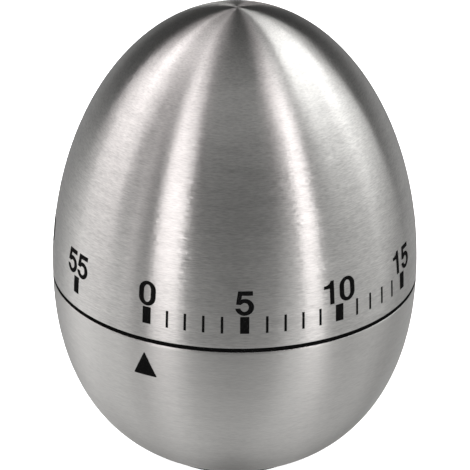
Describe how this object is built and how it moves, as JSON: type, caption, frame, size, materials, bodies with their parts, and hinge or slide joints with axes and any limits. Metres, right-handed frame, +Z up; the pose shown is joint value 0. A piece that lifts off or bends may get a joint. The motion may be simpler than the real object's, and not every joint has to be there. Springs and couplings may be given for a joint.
{
  "type": "kitchen timer",
  "caption": "Egg-shaped clockwork kitchen timer: the brushed steel dome turns on a fixed bowl to wind and set it, with a black minute scale and a pointer.",
  "frame": {"origin": "centre of the foot ring's underside, on the surface that the timer stands on", "axes": "+Z up along the egg's axis, which is also the dial's hinge axis; the pointer on the bowl faces -Y"},
  "size_m": [0.06, 0.06, 0.077],
  "materials": {
    "brushed_shell": "stainless steel brushed in circles around the upright axis, satin",
    "black_moulding": "black moulded ABS, fine matt texture",
    "grey_moulding": "dark grey moulded ABS",
    "foot_rubber": "soft black rubber, matt",
    "plate_brass": "rolled brass plate, lightly brushed",
    "turned_steel": "turned bright steel, fine lathe marks",
    "spring_steel": "blued spring steel",
    "bell_nickel": "nickel plate over pressed steel, bright",
    "black_print": "matt black pad-printed ink of the scale and the pointer"
  },
  "bodies": {
    "base": {"base_bowl": "brushed_shell", "bowl_liner": "black_moulding", "base_cap": "black_moulding", "foot_ring": "foot_rubber", "cap_screw_1": "turned_steel", "cap_screw_2": "turned_steel", "cap_screw_3": "turned_steel", "lower_plate": "plate_brass", "upper_plate": "plate_brass", "mount_screw_1": "turned_steel", "mount_screw_2": "turned_steel", "mount_screw_3": "turned_steel", "pillar_1": "plate_brass", "pillar_2": "plate_brass", "pillar_3": "plate_brass", "pillar_4": "plate_brass", "pillar_nut_1": "turned_steel", "pillar_nut_2": "turned_steel", "pillar_nut_3": "turned_steel", "pillar_nut_4": "turned_steel", "mainspring_post": "turned_steel", "mainspring": "spring_steel", "bell_post": "turned_steel", "bell": "bell_nickel", "bell_nut": "turned_steel", "lever_stud": "turned_steel", "lever_spring": "spring_steel", "hammer_spring": "spring_steel", "hairspring": "spring_steel"},
    "dial": {"dial_dome": "brushed_shell", "dial_carrier": "grey_moulding", "main_arbor": "turned_steel", "arbor_clip": "spring_steel", "thrust_washer": "plate_brass", "stop_disc": "plate_brass", "ratchet_wheel": "turned_steel"},
    "great": {"great_wheel": "plate_brass", "click_screw": "spring_steel", "click_spring": "spring_steel"},
    "click": {"click": "turned_steel"},
    "second": {"second_pinion": "turned_steel", "second_wheel": "plate_brass"},
    "third": {"third_pinion": "turned_steel", "third_wheel": "plate_brass"},
    "escape": {"escape_pinion": "turned_steel", "escape_wheel": "plate_brass"},
    "pallet": {"pallet_staff": "turned_steel", "pallet_lever": "turned_steel"},
    "balance": {"balance_staff": "turned_steel", "balance_wheel": "plate_brass", "hairspring_collet": "plate_brass"},
    "release_lever": {"release_lever": "turned_steel"},
    "hammer": {"hammer_arbor": "turned_steel", "hammer_arm": "turned_steel", "hammer_head": "plate_brass"}
  },
  "joints": [
    {"name": "dial_turn", "type": "hinge", "parent": "base", "child": "dial", "pos_m": [0, 0, 0.0324], "axis": [0, 0, -1], "range_deg": [0, 345], "deforming": ["mainspring"]},
    {"name": "great_wheel_turn", "type": "hinge", "parent": "base", "child": "great", "pos_m": [0, 0, 0.0189], "axis": [0, 0, -1], "continuous": true},
    {"name": "click_lift", "type": "hinge", "parent": "great", "child": "click", "pos_m": [0.0074, 0, 0.0202], "axis": [0, 0, -1], "range_deg": [0, 7], "stiffness_Nm_per_rad": 0.0001},
    {"name": "second_arbor_turn", "type": "hinge", "parent": "base", "child": "second", "pos_m": [0.01269, 0.00462, 0.0218], "axis": [0, 0, -1], "continuous": true},
    {"name": "third_arbor_turn", "type": "hinge", "parent": "base", "child": "third", "pos_m": [0.00696, 0.01156, 0.0236], "axis": [0, 0, -1], "continuous": true},
    {"name": "escape_arbor_turn", "type": "hinge", "parent": "base", "child": "escape", "pos_m": [-0.00026, 0.0135, 0.0212], "axis": [0, 0, -1], "continuous": true},
    {"name": "pallet_rock", "type": "hinge", "parent": "base", "child": "pallet", "pos_m": [-0.00646, 0.01354, 0.0223], "axis": [0, 0, 1], "range_deg": [-5, 5]},
    {"name": "balance_swing", "type": "hinge", "parent": "base", "child": "balance", "pos_m": [-0.01226, 0.01059, 0.0147], "axis": [0, 0, 1], "range_deg": [-150, 150], "stiffness_Nm_per_rad": 0.000001, "deforming": ["hairspring"]},
    {"name": "release_lever_drop", "type": "hinge", "parent": "base", "child": "release_lever", "pos_m": [-0.00717, -0.01024, 0.0097], "axis": [0, 0, 1], "range_deg": [-8, 6], "stiffness_Nm_per_rad": 0.001},
    {"name": "hammer_swing", "type": "hinge", "parent": "base", "child": "hammer", "pos_m": [0.0068, -0.01178, 0.0285], "axis": [0, 0, -1], "range_deg": [-5, 7], "stiffness_Nm_per_rad": 0.002}
  ],
  "couplings": [
    {"joint": "great_wheel_turn", "follows": "dial_turn", "ratio": 1},
    {"joint": "second_arbor_turn", "follows": "dial_turn", "ratio": -8},
    {"joint": "third_arbor_turn", "follows": "dial_turn", "ratio": 64},
    {"joint": "escape_arbor_turn", "follows": "dial_turn", "ratio": -480}
  ]
}
